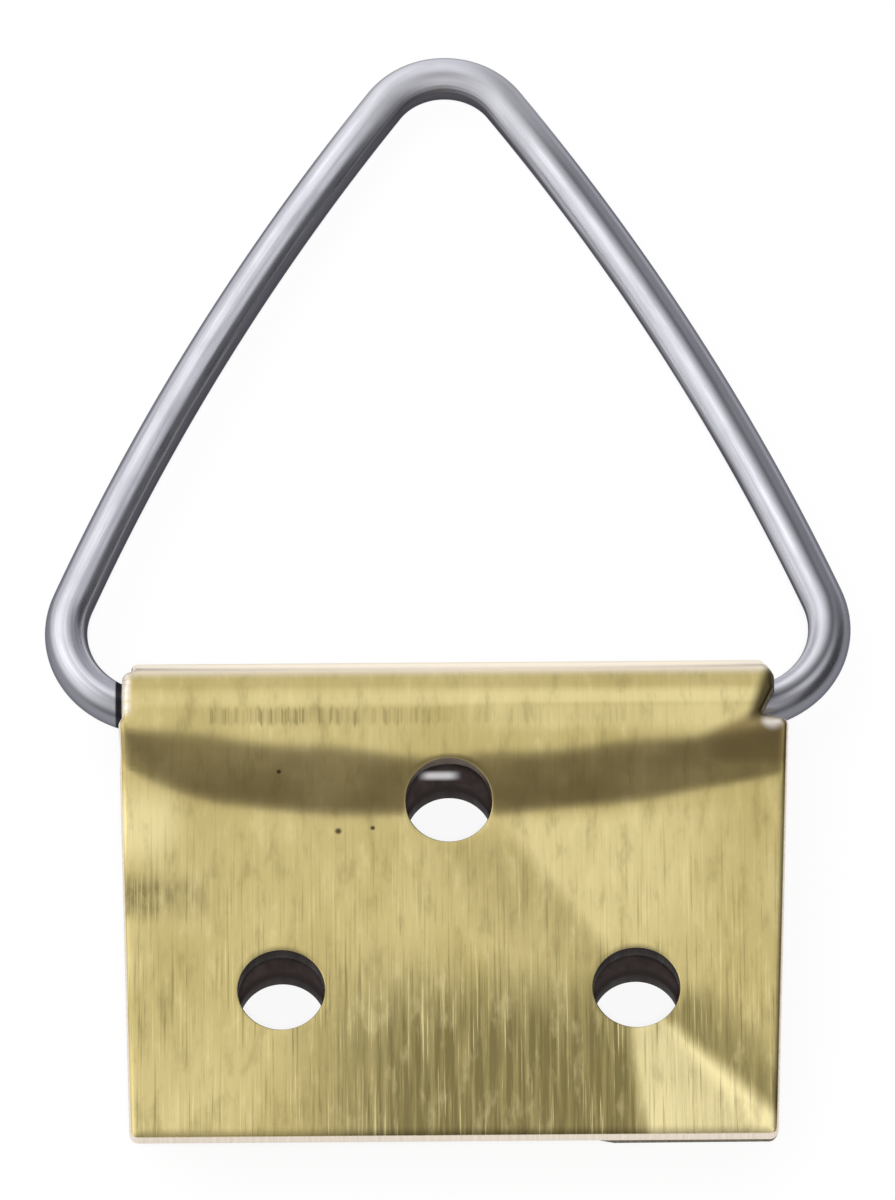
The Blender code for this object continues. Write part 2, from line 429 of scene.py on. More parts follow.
def build_strap():
    flat, faces, finishes = strap_parts()
    mesh = bpy.data.meshes.new("brass_strap_finish")
    mesh.from_pydata([sheet_place(*place) for place in flat], [], faces)
    strip = mesh.uv_layers.new(name="strip")
    for loop in mesh.loops:
        x, w, _ = flat[loop.vertex_index]
        strip.uv[loop.index].vector = (x, w)
    for material in (brass(), brass_inside(), lit_edge(), shaded_edge()):
        mesh.materials.append(material)
    mesh.polygons.foreach_set("material_index", finishes)
    add_piece("brass_strap", mesh, "strap")


# Mesh of the wire

def arc(centre, radius, start, end, steps):
    angles = [start + (end - start) * i / steps for i in range(steps + 1)]
    return [centre + radius * Vector((math.cos(a), math.sin(a))) for a in angles]


def leg_bow_centre(tip_centre, corner_centre):
    """Centre of the wide arc that a leg follows, which runs smoothly into the tip and corner bends."""
    to_tip = LEG_BOW_RADIUS - TIP_BEND_RADIUS
    to_corner = LEG_BOW_RADIUS - CORNER_BEND_RADIUS
    across = corner_centre - tip_centre
    along = (to_tip**2 - to_corner**2 + across.length_squared) / (2 * across.length)
    aside = math.sqrt(to_tip**2 - along**2)
    direction = across.normalized()
    return tip_centre + direction * along + Vector((direction.y, -direction.x)) * aside


def half_triangle():
    """Middle of the wire on the +X side, from the tip down the leg and along the bar to the butt."""
    straight_bar = TRIANGLE_WIDTH - 2 * CORNER_BEND_RADIUS
    tip_centre = Vector((0, TRIANGLE_HEIGHT - TIP_BEND_RADIUS))
    corner_centre = Vector((straight_bar / 2, CORNER_BEND_RADIUS))
    bow_centre = leg_bow_centre(tip_centre, corner_centre)
    to_tip = tip_centre - bow_centre
    to_corner = corner_centre - bow_centre
    leg_start = math.atan2(to_tip.y, to_tip.x)
    leg_end = math.atan2(to_corner.y, to_corner.x)
    points = arc(tip_centre, TIP_BEND_RADIUS, math.pi / 2, leg_start, BEND_STEPS)
    points += arc(bow_centre, LEG_BOW_RADIUS, leg_start, leg_end, LEG_STEPS)[1:]
    points += arc(corner_centre, CORNER_BEND_RADIUS, leg_end, -math.pi / 2, BEND_STEPS)[1:]
    bar_end = Vector((BUTT_GAP / 2 + BUTT_CHAMFER, 0))
    points += [points[-1].lerp(bar_end, i / BAR_STEPS) for i in range(1, BAR_STEPS + 1)]
    return points


def wire_path():
    right = half_triangle()
    left = [Vector((-p.x, p.y)) for p in right]
    return left[:0:-1] + right


def wire_rings():
    """Centres and radii of the rings along the wire, with a smaller ring at each end for the chamfer."""
    path = wire_path()
    chamfer = Vector((BUTT_CHAMFER, 0))
    end_radius = WIRE_RADIUS - BUTT_CHAMFER
    rings = [(point, WIRE_RADIUS) for point in path]
    return [(path[0] + chamfer, end_radius), *rings, (path[-1] - chamfer, end_radius)]


def wire_points(rings):
    """Points of the wire's skin, and the turn about the wire and the way along it of each."""
    places = []
    drawn = []
    along = 0
    for i, (point, radius) in enumerate(rings):
        ahead = rings[min(i + 1, len(rings) - 1)][0]
        behind = rings[max(i - 1, 0)][0]
        along += (point - behind).length
        direction = (ahead - behind).normalized()
        aside = Vector((-direction.y, direction.x))
        for k in range(WIRE_SIDES):
            turn = 2 * math.pi * k / WIRE_SIDES
            out = aside * math.cos(turn) * radius
            places.append(Vector((point.x + out.x, point.y + out.y, math.sin(turn) * radius)))
            drawn.append((math.cos(turn), math.sin(turn), along))
    return places, drawn


def wire_faces(ring_count):
    """Faces between the rings, and a cap at each end."""
    faces = []
    for ring in range(ring_count - 1):
        here = ring * WIRE_SIDES
        there = here + WIRE_SIDES
        for k in range(WIRE_SIDES):
            step = (k + 1) % WIRE_SIDES
            faces.append((here + step, there + step, there + k, here + k))
    last = (ring_count - 1) * WIRE_SIDES
    faces.append(list(range(WIRE_SIDES - 1, -1, -1)))
    faces.append(list(range(last, last + WIRE_SIDES)))
    return faces


def build_wire():
    rings = wire_rings()
    places, drawn = wire_points(rings)
    mesh = bpy.data.meshes.new("wire_triangle_finish")
    droop = Matrix.Rotation(-DROOP_ANGLE, 3, "X")
    mesh.from_pydata([droop @ place for place in places], [], wire_faces(len(rings)))
    lines = mesh.attributes.new("drawn", "FLOAT_VECTOR", "POINT")
    lines.data.foreach_set("vector", [number for row in drawn for number in row])
    mesh.materials.append(plated_steel())
    add_piece("wire_triangle", mesh, "triangle")


# Materials

# The numbers of a mark on the strip are in millimetres. A fade has the places where it starts and ends,
# and may have the shares there. A band has its two ends and a softness. A line has a point, a direction in
# degrees and a softness, and its mark lies on the left. A spot has a centre, an inner and an outer
# distance. A grain has how often it changes along each coordinate, its detail and its roughness.

# Range that most of a noise lies in
NOISE_RANGE = (0.3, 0.7)

# Height of the fine lines of a drawn or brushed surface, and how strongly they show
GRAIN_HEIGHT = 0.006 * MM
GRAIN_STRENGTH = 0.3

# Sockets of a Mix node that mixes colours
MIX_SHARE = 0
MIX_FIRST = 6
MIX_SECOND = 7
MIX_RESULT = 2


def node(tree, kind, inputs=None, **settings):
    """A new node with its settings, and its inputs given as values or as sockets to link."""
    made = tree.nodes.new(kind)
    for name, value in settings.items():
        setattr(made, name, value)
    for name, value in (inputs or {}).items():
        if isinstance(value, bpy.types.NodeSocket):
            tree.links.new(value, made.inputs[name])
        else:
            made.inputs[name].default_value = value
    return made


def math_node(tree, operation, *values):
    return node(tree, "ShaderNodeMath", dict(enumerate(values)), operation=operation).outputs[0]


def vector_node(tree, operation, first, second):
    return node(tree, "ShaderNodeVectorMath", {0: first, 1: second}, operation=operation).outputs


def remap(tree, value, low, high, to_low=0.0, to_high=1.0):
    """A value brought smoothly from one range to another."""
    inputs = {"Value": value, "From Min": low, "From Max": high, "To Min": to_low, "To Max": to_high}
    return node(tree, "ShaderNodeMapRange", inputs, interpolation_type="SMOOTHSTEP").outputs["Result"]


def noise(tree, place, scale, detail, roughness):
    """Noise on a place whose coordinates are stretched by scale."""
    stretched = vector_node(tree, "MULTIPLY", place, scale)["Vector"]
    inputs = {"Vector": stretched, "Scale": 1.0, "Detail": detail, "Roughness": roughness}
    return node(tree, "ShaderNodeTexNoise", inputs).outputs["Fac"]


def mix_colour(tree, share, first, second, blend="MIX"):
    inputs = {MIX_SHARE: share, MIX_FIRST: first, MIX_SECOND: second}
    return node(tree, "ShaderNodeMix", inputs, data_type="RGBA", blend_type=blend).outputs[MIX_RESULT]


def new_material(name):
    material = bpy.data.materials.new(name)
    material.use_nodes = True
    tree = material.node_tree
    return material, tree, tree.nodes["Principled BSDF"]


def strip_place(tree):
    """A place on the flat strip, and its coordinates x and w."""
    place = node(tree, "ShaderNodeUVMap", uv_map="strip").outputs["UV"]
    parts = node(tree, "ShaderNodeSeparateXYZ", {0: place}).outputs
    return place, parts["X"], parts["Y"]


def add_bump(tree, shader, height):
    inputs = {"Strength": GRAIN_STRENGTH, "Distance": GRAIN_HEIGHT, "Height": height}
    tree.links.new(node(tree, "ShaderNodeBump", inputs).outputs[0], shader.inputs["Normal"])


# Masks

def product(tree, *masks):
    total = masks[0]
    for mask in masks[1:]:
        total = math_node(tree, "MULTIPLY", total, mask)
    return total


def strongest(tree, masks):
    total = masks[0]
    for mask in masks[1:]:
        total = math_node(tree, "MAXIMUM", total, mask)
    return total


def left_of(tree, place, point, angle):
    """How far a place on the strip lies to the left of a line through a point."""
    turn = math.radians(angle)
    normal = Vector((-math.sin(turn), math.cos(turn), 0))
    away = vector_node(tree, "SUBTRACT", place, (*point, 0))["Vector"]
    return vector_node(tree, "DOT_PRODUCT", away, normal)["Value"]


def half_plane(tree, place, point, angle, softness):
    """1 on the left of a line through a point of the strip, 0 on its right."""
    return remap(tree, left_of(tree, place, point, angle), -softness, softness)


def beside(tree, place, point, angle, softness, reach):
    """1 just left of a line through a point of the strip, fading out within a reach; 0 on its right."""
    side = left_of(tree, place, point, angle)
    rise = remap(tree, side, -softness, softness)
    return product(tree, rise, remap(tree, side, reach, softness))


def wedge(tree, place, tip, start, end, softness):
    """1 in the wedge from a tip between two directions, given in degrees, counter-clockwise."""
    left = half_plane(tree, place, tip, start, softness)
    right = half_plane(tree, place, tip, end + 180, softness)
    return product(tree, left, right)


def spot(tree, place, centre, inner, outer):
    """1 within the inner distance of a place on the strip, 0 past the outer one."""
    away = vector_node(tree, "DISTANCE", place, (*centre, 0))["Value"]
    return remap(tree, away, outer, inner)


def band(tree, value, low, high, softness):
    """1 between two values, 0 outside them."""
    rise = remap(tree, value, low - softness, low + softness)
    return product(tree, rise, remap(tree, value, high + softness, high - softness))


# Brushed brass

PLAIN_BRASS = (0.565, 0.462, 0.186, 1)
# Bright brass for the grain, and for painted highlights
BRIGHT_BRASS = (0.99, 0.86, 0.45, 1)
# Dark brass for the grain and the tool marks, and for painted shade
DULL_BRASS = (0.205, 0.168, 0.065, 1)
# Brown brass for the pits, and for painted shade at the knuckle's right end
BROWN_BRASS = (0.10, 0.08, 0.035, 1)
# Painted shade on the crimp's slope
SLOPE_SHADE_BRASS = (0.26, 0.19, 0.078, 1)
# Painted highlight on the crest of the fold
CREST_HIGHLIGHT_BRASS = (1.0, 0.89, 0.74, 1)
# Painted highlights on the left lip and the right shoulder
LIP_HIGHLIGHT_BRASS = (0.93, 0.86, 0.78, 1)

# Places on the right of the top hole, and on the upper and the lower side of the bright streak by the
# lower right hole
TOP_HOLE_RIGHT = (2.4, -6.5)
STREAK_SIDE = (10.5, -17.15)
STREAK_FOOT = (8.4, -17.5)

# Painted shade in patches, standing in for dark reflections: down to the foot, under the top hole and by
# the streak; and a smudge on the left
SHADED_FOOT_FADE = (-11.5, -18.0)
SHADED_FOOT_ACROSS = (-9.5, -1.5)
SHADED_FOOT_LINE = (STREAK_FOOT, 96, 0.6)
UNDER_HOLE_LINE = (TOP_HOLE_RIGHT, 126, 0.5)
UNDER_HOLE_REACH = 6.0
UNDER_HOLE_FADE = (-6.0, -9.0)
UNDER_HOLE_SHARE = 0.35
BY_STREAK_LINE = (STREAK_SIDE, -43, 0.5)
BY_STREAK_REACH = 4.0
BY_STREAK_FADE = (-13.8, -16.0)
BY_STREAK_SHARE = 0.8
SMUDGE_BAND = (-11.2, -9.4, 0.7)
SMUDGE_ACROSS = (-9.6, -14.8)
SMUDGE_GRAIN = ((1.4, 0.6, 1), 3, 0.6)
SMUDGE_PATCHES = (0.36, 0.64, 0.5, 1.0)


def painted_shade_and_smudge(tree, place, x, w):
    """Painted shade where the front leaf would mirror darker light, and a smudge on the left."""
    foot = product(tree, remap(tree, w, *SHADED_FOOT_FADE), remap(tree, x, *SHADED_FOOT_ACROSS))
    foot = product(tree, foot, half_plane(tree, place, *SHADED_FOOT_LINE))
    under_hole = beside(tree, place, *UNDER_HOLE_LINE, UNDER_HOLE_REACH)
    under_hole = product(tree, under_hole, remap(tree, w, *UNDER_HOLE_FADE), UNDER_HOLE_SHARE)
    by_streak = beside(tree, place, *BY_STREAK_LINE, BY_STREAK_REACH)
    by_streak = product(tree, by_streak, remap(tree, w, *BY_STREAK_FADE), BY_STREAK_SHARE)
    patchy = remap(tree, noise(tree, place, *SMUDGE_GRAIN), *SMUDGE_PATCHES)
    smudge = product(tree, band(tree, w, *SMUDGE_BAND), remap(tree, x, *SMUDGE_ACROSS), patchy)
    return strongest(tree, [foot, under_hole, by_streak, smudge])


# Painted highlights, standing in for bright reflections: beside the top hole, down to the right corner, by
# the crimp and the knuckle, and at the left foot
BESIDE_HOLE_WEDGE = (TOP_HOLE_RIGHT, -54, 4, 0.5)
BESIDE_HOLE_SPOT = ((6.0, -8.0), 2.0, 9.0)
BESIDE_HOLE_SHARE = 0.36
CORNER_LINE = (STREAK_SIDE, 137, 0.5)
CORNER_FOOT_LINE = (STREAK_FOOT, -84, 0.6)
CORNER_FADE = (-15.6, -17.2)
UNDER_CRIMP_SPOT = ((-14.3, -6.6), 0.5, 2.8)
UNDER_CRIMP_SHARE = 0.62
UNDER_KNUCKLE_BAND = (-0.75, -0.05, 0.25)
UNDER_KNUCKLE_ACROSS = (-8.0, 8.0, 0.26, 0.5)
OVER_CRIMP_BAND = (-2.0, -0.7, 0.4)
OVER_CRIMP_ACROSS = (-1.0, 4.0, 0.0, 0.28)
LEFT_FOOT_SPOT = ((-13.5, -20.5), 0.5, 5.5)
LEFT_FOOT_SHARE = 0.25


def painted_highlight_patches(tree, place, x, w):
    """Painted highlights where the front leaf would mirror bright light."""
    beside_hole = wedge(tree, place, *BESIDE_HOLE_WEDGE)
    beside_hole = product(tree, beside_hole, spot(tree, place, *BESIDE_HOLE_SPOT), BESIDE_HOLE_SHARE)
    to_corner = half_plane(tree, place, *CORNER_LINE)
    right_of_foot = half_plane(tree, place, *CORNER_FOOT_LINE)
    to_corner = product(tree, to_corner, right_of_foot, remap(tree, w, *CORNER_FADE))
    under_crimp = product(tree, spot(tree, place, *UNDER_CRIMP_SPOT), UNDER_CRIMP_SHARE)
    under_knuckle = band(tree, w, *UNDER_KNUCKLE_BAND)
    under_knuckle = product(tree, under_knuckle, remap(tree, x, *UNDER_KNUCKLE_ACROSS))
    over_crimp = product(tree, band(tree, w, *OVER_CRIMP_BAND), remap(tree, x, *OVER_CRIMP_ACROSS))
    left_foot = product(tree, spot(tree, place, *LEFT_FOOT_SPOT), LEFT_FOOT_SHARE)
    return strongest(tree, [beside_hole, to_corner, under_crimp, under_knuckle, over_crimp, left_foot])


# Painted shade on the slope into the crimp, standing in for its dark reflection: the tilt of its face,
# where it lies, its patches, and its darker right end
SLOPE_TILT = (-0.04, -0.22)
SLOPE_BAND = (-7.0, -1.5, 0.3)
SLOPE_GRAIN = ((0.35, 0.5, 1), 2, 0.5)
SLOPE_PATCHES = (0.35, 0.65, 0.35, 0.6)
SLOPE_END_LINE = ((12.8, -1.95), 205, 0.35)
SLOPE_END_ACROSS = (10.0, 13.0)
SLOPE_END_FADE = (-4.4, -3.3)
SLOPE_END_SHARE = 0.85


def painted_slope_shade(tree, place, x, w):
    """Painted shade where the front leaf slopes down into the crimp, in patches, and most at its right
    end.
    """
    normal = node(tree, "ShaderNodeTexCoord").outputs["Normal"]
    tilt = node(tree, "ShaderNodeSeparateXYZ", {0: normal}).outputs["Y"]
    patchy = remap(tree, noise(tree, place, *SLOPE_GRAIN), *SLOPE_PATCHES)
    slope = product(tree, patchy, remap(tree, tilt, *SLOPE_TILT), band(tree, w, *SLOPE_BAND))
    right_end = half_plane(tree, place, *SLOPE_END_LINE)
    right_end = product(tree, right_end, remap(tree, x, *SLOPE_END_ACROSS))
    right_end = product(tree, right_end, remap(tree, w, *SLOPE_END_FADE), SLOPE_END_SHARE)
    return strongest(tree, [slope, right_end])


# Row of tool marks below the knuckle: its uneven ends, its lines and gaps, and where it is thick or faint
MARK_END_GRAIN = ((4.0, 0, 1), 2, 0.6)
MARK_END_WAVE = 1.2
MARK_ROW_BAND = (-1.1, -0.3, 0.15)
MARK_LINE_GRAIN = ((3.6, 0, 1), 3, 0.7)
MARK_LINES = (0.54, 0.36, 0.18, 1.0)
MARK_GAP_GRAIN = ((0.45, 0, 1), 1, 0.5)
MARK_GAPS = (0.4, 0.58, 0.3, 0.8)
THICK_MARKS_BAND = (-9.4, -6.6, 0.4)
MARK_FADE = (-3.0, 4.0, 1.0, 0.3)
MARK_SPAN_BAND = (-12.0, 8.5, 0.8)


def tool_marks(tree, place, x, w):
    """Short dark marks in a dull row below the knuckle, thickest near the left and faint on the right."""
    uneven = noise(tree, place, *MARK_END_GRAIN)
    row = band(tree, math_node(tree, "MULTIPLY_ADD", uneven, MARK_END_WAVE, w), *MARK_ROW_BAND)
    lines = remap(tree, noise(tree, place, *MARK_LINE_GRAIN), *MARK_LINES)
    gaps = remap(tree, noise(tree, place, *MARK_GAP_GRAIN), *MARK_GAPS)
    density = strongest(tree, [gaps, band(tree, x, *THICK_MARKS_BAND)])
    fading = remap(tree, x, *MARK_FADE)
    return product(tree, row, lines, density, fading, band(tree, x, *MARK_SPAN_BAND))


# Painted shade along the slanted cut at the knuckle's right end, and painted highlights on the left lip
# and right shoulder
END_SHADE_WIDTH = 0.75
END_SHADE_LINE = ((KNUCKLE_HALF_WIDTH - END_SHADE_WIDTH, -SHOULDER_DROP), 252, 0.3)
END_SHADE_BAND = (-1.6, 1.3, 0.3)
LIP_GRAIN = ((1.0, 3.0, 1), 3, 0.6)
LIP_RIPPLES = (0.3, 0.6, 0.3, 1.0)
LIP_ACROSS = (-14.65, -15.05)
LIP_BAND = (-1.1, 1.5, 0.3)
SHOULDER_SPOT = ((15.1, -1.6), 0.25, 0.7)


def knuckle_end_shade(tree, place, w):
    """Painted shade on the lip at the knuckle's right end, along its slanted cut."""
    return product(tree, half_plane(tree, place, *END_SHADE_LINE), band(tree, w, *END_SHADE_BAND))


def lip_highlights(tree, place, x, w):
    """Painted highlights: the pale lip at the knuckle's left end, and a glint on the top of the right
    shoulder.
    """
    ripples = remap(tree, noise(tree, place, *LIP_GRAIN), *LIP_RIPPLES)
    lip = product(tree, ripples, remap(tree, x, *LIP_ACROSS), band(tree, w, *LIP_BAND))
    return strongest(tree, [lip, spot(tree, place, *SHOULDER_SPOT)])


# Grain of the brass: brushed lines, dashes in the patches of painted shade, blotches and clouds
FINE_GRAIN = ((9.0, 0.16, 1), 3, 0.6)
LINES_FADE = (-3.0, -15.0, 0.15, 0.7)
LINES_IN_SHADE = 0.4
DARK_LINES = (0.46, 0.3, 0.0, 0.75)
BRIGHT_LINES = (0.57, 0.74, 0.0, 0.6)
DASH_GRAIN = ((3.2, 0.14, 1), 3, 0.6)
DULL_DASHES = (0.66, 0.34, 0.68, 1.1)
BLOTCH_GRAIN = ((1.3, 0.4, 1), 3, 0.6)
DULL_BLOTCHES = (0.5, 0.28, 0.0, 0.3)
BRIGHT_BLOTCHES = (0.52, 0.74, 0.0, 0.22)
CLOUD_GRAIN = ((0.2, 0.13, 1), 2, 0.5)
BRIGHT_CLOUDS = (*NOISE_RANGE, 0.22, 0.0)


def grained_brass(tree, place, x, w, fine, lower, shade_and_smudge):
    """Colour of the brass with its patches of painted shade and painted highlight, blotches and brushed
    lines.
    """
    dashes = noise(tree, place, *DASH_GRAIN)
    blotches = noise(tree, place, *BLOTCH_GRAIN)
    cloud = noise(tree, place, *CLOUD_GRAIN)
    colour = mix_colour(tree, remap(tree, cloud, *BRIGHT_CLOUDS), PLAIN_BRASS, BRIGHT_BRASS)
    # Painted highlights in patches
    colour = mix_colour(tree, painted_highlight_patches(tree, place, x, w), colour, BRIGHT_BRASS)
    # Painted shade in patches, streaked with dashes
    streaked = product(tree, shade_and_smudge, remap(tree, dashes, *DULL_DASHES))
    colour = mix_colour(tree, streaked, colour, DULL_BRASS)
    colour = mix_colour(tree, remap(tree, blotches, *DULL_BLOTCHES), colour, DULL_BRASS)
    dark_lines = product(tree, remap(tree, fine, *DARK_LINES), lower)
    colour = mix_colour(tree, dark_lines, colour, DULL_BRASS)
    bright_lines = product(tree, remap(tree, fine, *BRIGHT_LINES), lower)
    colour = mix_colour(tree, bright_lines, colour, BRIGHT_BRASS)
    return mix_colour(tree, remap(tree, blotches, *BRIGHT_BLOTCHES), colour, BRIGHT_BRASS)


# Pits in the front leaf, as places on the strip and their sizes, and the size of their dark middle
PITS = [((-5.15, -6.95), 0.22), ((-3.55, -6.8), 0.15), ((-7.9, -4.05), 0.14)]
PIT_CORE = 0.06

# Painted shade at the front of the fold, and a painted highlight on its crest
FOLD_SHADE_BAND = (0.2, 0.75, 0.2)
FOLD_SHADE_SHARE = 0.21
CREST_BAND = (1.05, 2.2, 0.4)
CREST_SHARE = 0.95


def marked_brass(tree, colour, place, x, w):
    """Colour of the brass with painted shade at the fold, on the crimp's slope and at the knuckle's right
    end, tool marks, pits, and painted highlights on the crest, the left lip and the right shoulder.
    """
    # Painted shade at the front of the fold
    fold_shade = product(tree, band(tree, w, *FOLD_SHADE_BAND), FOLD_SHADE_SHARE)
    colour = mix_colour(tree, fold_shade, colour, DULL_BRASS)
    colour = mix_colour(tree, tool_marks(tree, place, x, w), colour, DULL_BRASS)
    # Painted shade on the slope into the crimp
    colour = mix_colour(tree, painted_slope_shade(tree, place, x, w), colour, SLOPE_SHADE_BRASS)
    pits = strongest(tree, [spot(tree, place, centre, PIT_CORE, size) for centre, size in PITS])
    colour = mix_colour(tree, pits, colour, BROWN_BRASS)
    # Painted highlight along the crest
    crest = product(tree, band(tree, w, *CREST_BAND), CREST_SHARE)
    colour = mix_colour(tree, crest, colour, CREST_HIGHLIGHT_BRASS)
    # Painted highlights on the left lip and the right shoulder
    colour = mix_colour(tree, lip_highlights(tree, place, x, w), colour, LIP_HIGHLIGHT_BRASS)
    # Painted shade at the knuckle's right end
    return mix_colour(tree, knuckle_end_shade(tree, place, w), colour, BROWN_BRASS)


# Gloss of the brass: its roughness where lines are faint and where they are strong, and how far they draw
# it out
BRASS_ROUGHNESS = (0.1, 0.6, 0.32, 0.25)
BRASS_ANISOTROPY = 0.5


def brass():
    """Rolled brass, brushed along the strip, with patches of painted shade and painted highlight, tool
    marks and pits.
    """
    material, tree, shader = new_material("brushed_brass")
    place, x, w = strip_place(tree)
    shade_and_smudge = painted_shade_and_smudge(tree, place, x, w)
    fine = noise(tree, place, *FINE_GRAIN)
    lower = math_node(tree, "MULTIPLY_ADD", shade_and_smudge, LINES_IN_SHADE, remap(tree, w, *LINES_FADE))
    colour = grained_brass(tree, place, x, w, fine, lower, shade_and_smudge)
    tree.links.new(marked_brass(tree, colour, place, x, w), shader.inputs["Base Color"])
    shader.inputs["Metallic"].default_value = 1
    brushed = product(tree, fine, lower)
    tree.links.new(remap(tree, brushed, *BRASS_ROUGHNESS), shader.inputs["Roughness"])
    shader.inputs["Anisotropic"].default_value = BRASS_ANISOTROPY
    tangent = node(tree, "ShaderNodeTangent", direction_type="UV_MAP", uv_map="strip").outputs[0]
    tree.links.new(tangent, shader.inputs["Tangent"])
    add_bump(tree, shader, brushed)
    return material


# Brass inside the fold and the holes, painted dark as shade

# Near-black brass: painted shade inside the fold
LIGHT_INSIDE = (0.068, 0.052, 0.048, 1)
DARK_INSIDE = (0.042, 0.032, 0.03, 1)
# Painted highlight inside the back leaf
GLINT_INSIDE = (0.85, 0.83, 0.84, 1)
# Painted shade on the hole walls
HOLE_WALL = (0.034, 0.026, 0.025, 1)
# Painted light on the upper wall of the top hole
LIT_TOP_HOLE_WALL = (0.2, 0.155, 0.125, 1)
# Lighter brass painted where light reaches in at the open edges
OPEN_EDGE = (0.30, 0.235, 0.105, 1)
INSIDE_GRAIN = ((1.2, 0.9, 1), 4, 0.6)
INSIDE_ROUGHNESS = (*NOISE_RANGE, 0.5, 0.7)
INSIDE_SPECULAR = 0.1

# A painted highlight inside the back leaf, seen through the top hole
GLINT_BAND = (LOOP_LENGTH + 2.6, LOOP_LENGTH + 2.95, 0.14)
GLINT_ACROSS_BAND = (-1.2, 0.3, 0.35)

# How far a hole's wall reaches from its centre, and the upper part of the top hole's wall, painted lighter
# as lit
WALL_REACH = (HOLE_RADIUS + 0.1, HOLE_RADIUS + 0.3)
TOP_WALL_BAND = (-4.4, -3.0, 0.3)

# Fades to the leaves' open sides and feet, and from the fold to the leaves
SIDE_ACROSS = (11.5, 14.5)
FOOT_FADES = ((-18.5, -21.5), (LOOP_LENGTH + 17, LOOP_LENGTH + 20))
LEAF_FADES = ((-2, -4), (LOOP_LENGTH + 2, LOOP_LENGTH + 4))


def open_edges(tree, x, w):
    """Where the inside lies open to the light, near the leaves' sides and feet."""
    by_side = remap(tree, math_node(tree, "ABSOLUTE", x), *SIDE_ACROSS)
    by_foot = strongest(tree, [remap(tree, w, *fade) for fade in FOOT_FADES])
    on_leaf = strongest(tree, [remap(tree, w, *fade) for fade in LEAF_FADES])
    return product(tree, on_leaf, strongest(tree, [by_side, by_foot]))


def brass_inside():
    """The unbrushed brass inside the fold and the holes: painted dark brown as shade, lighter and metallic
    towards the open edges.
    """
    material, tree, shader = new_material("painted_shade_brass_inside")
    place, x, w = strip_place(tree)
    spots = noise(tree, place, *INSIDE_GRAIN)
    colour = mix_colour(tree, remap(tree, spots, *NOISE_RANGE), LIGHT_INSIDE, DARK_INSIDE)
    # Painted highlight inside the back leaf, seen through the top hole
    inside_glint = product(tree, band(tree, w, *GLINT_BAND), band(tree, x, *GLINT_ACROSS_BAND))
    colour = mix_colour(tree, inside_glint, colour, GLINT_INSIDE)
    # Painted shade on the hole walls
    walls = strongest(tree, [spot(tree, place, centre, *WALL_REACH) for centre in hole_centres()])
    colour = mix_colour(tree, walls, colour, HOLE_WALL)
    # Painted light on the upper wall of the top hole
    lit_top_wall = spot(tree, place, (0, -TOP_HOLE_DROP), *WALL_REACH)
    lit_top_wall = product(tree, lit_top_wall, band(tree, w, *TOP_WALL_BAND))
    colour = mix_colour(tree, lit_top_wall, colour, LIT_TOP_HOLE_WALL)
    # Lighter, metallic brass painted where light reaches in at the open edges
    open_edge = open_edges(tree, x, w)
    colour = mix_colour(tree, open_edge, colour, OPEN_EDGE)
    tree.links.new(colour, shader.inputs["Base Color"])
    tree.links.new(open_edge, shader.inputs["Metallic"])
    shader.inputs["Specular IOR Level"].default_value = INSIDE_SPECULAR
    tree.links.new(remap(tree, spots, *INSIDE_ROUGHNESS), shader.inputs["Roughness"])
    return material


# Cut edges of the brass, in two shades each: pale ones painted as a highlight, dark ones painted as shade

LIT_EDGE_SHADES = ((0.89, 0.79, 0.68, 1), (0.80, 0.70, 0.58, 1))
SHADED_EDGE_SHADES = ((0.14, 0.108, 0.06, 1), (0.10, 0.077, 0.044, 1))
EDGE_GRAIN = ((5.0, 5.0, 1), 4, 0.7)
EDGE_ROUGHNESS = (*NOISE_RANGE, 0.35, 0.5)


def sheared_edge(name, shades):
    """Brass of a sheared edge, in two shades that run into each other."""
    material, tree, shader = new_material(name)
    place, _, _ = strip_place(tree)
    marks = noise(tree, place, *EDGE_GRAIN)
    colour = mix_colour(tree, remap(tree, marks, *NOISE_RANGE), *shades)
    tree.links.new(colour, shader.inputs["Base Color"])
    shader.inputs["Metallic"].default_value = 1
    tree.links.new(remap(tree, marks, *EDGE_ROUGHNESS), shader.inputs["Roughness"])
    return material


# Pale edge brass: a painted highlight
def lit_edge():
    return sheared_edge("painted_highlight_brass_edge", LIT_EDGE_SHADES)


# Dark edge brass: painted shade
def shaded_edge():
    return sheared_edge("painted_shade_brass_edge", SHADED_EDGE_SHADES)


# Plated steel of the wire

DARK_LINED_STEEL = (0.58, 0.58, 0.63, 1)
BRIGHT_LINED_STEEL = (0.72, 0.73, 0.79, 1)
CLOUDED_STEEL = (0.50, 0.50, 0.55, 1)
# Painted shade: greyer stripes on the right leg and on the outer side
GREY_STEEL = (0.185, 0.185, 0.205, 1)
PALE_GREY_STEEL = (0.46, 0.46, 0.51, 1)
OUTER_STEEL = (0.21, 0.21, 0.24, 1)
# Painted light on the tip
LIT_TIP_STEEL = (0.85, 0.85, 0.89, 1)
# Painted shade on the inner side
INNER_STEEL = (0.10, 0.096, 0.108, 1)
# Painted contact shadow where the wire enters the knuckle
STEEL_CONTACT_SHADOW = (0.03, 0.03, 0.033, 1)
STEEL_EDGE_TINT = (0.42, 0.42, 0.46, 1)
DRAWN_GRAIN = ((9, 9, 0.12), 3, 0.6)
STEEL_CLOUD_GRAIN = ((1.5, 1.5, 0.35), 3, 0.55)
STEEL_CLOUDS = (0.4, 0.75, 0.0, 0.5)
STEEL_ROUGHNESS = (*NOISE_RANGE, 0.24, 0.34)

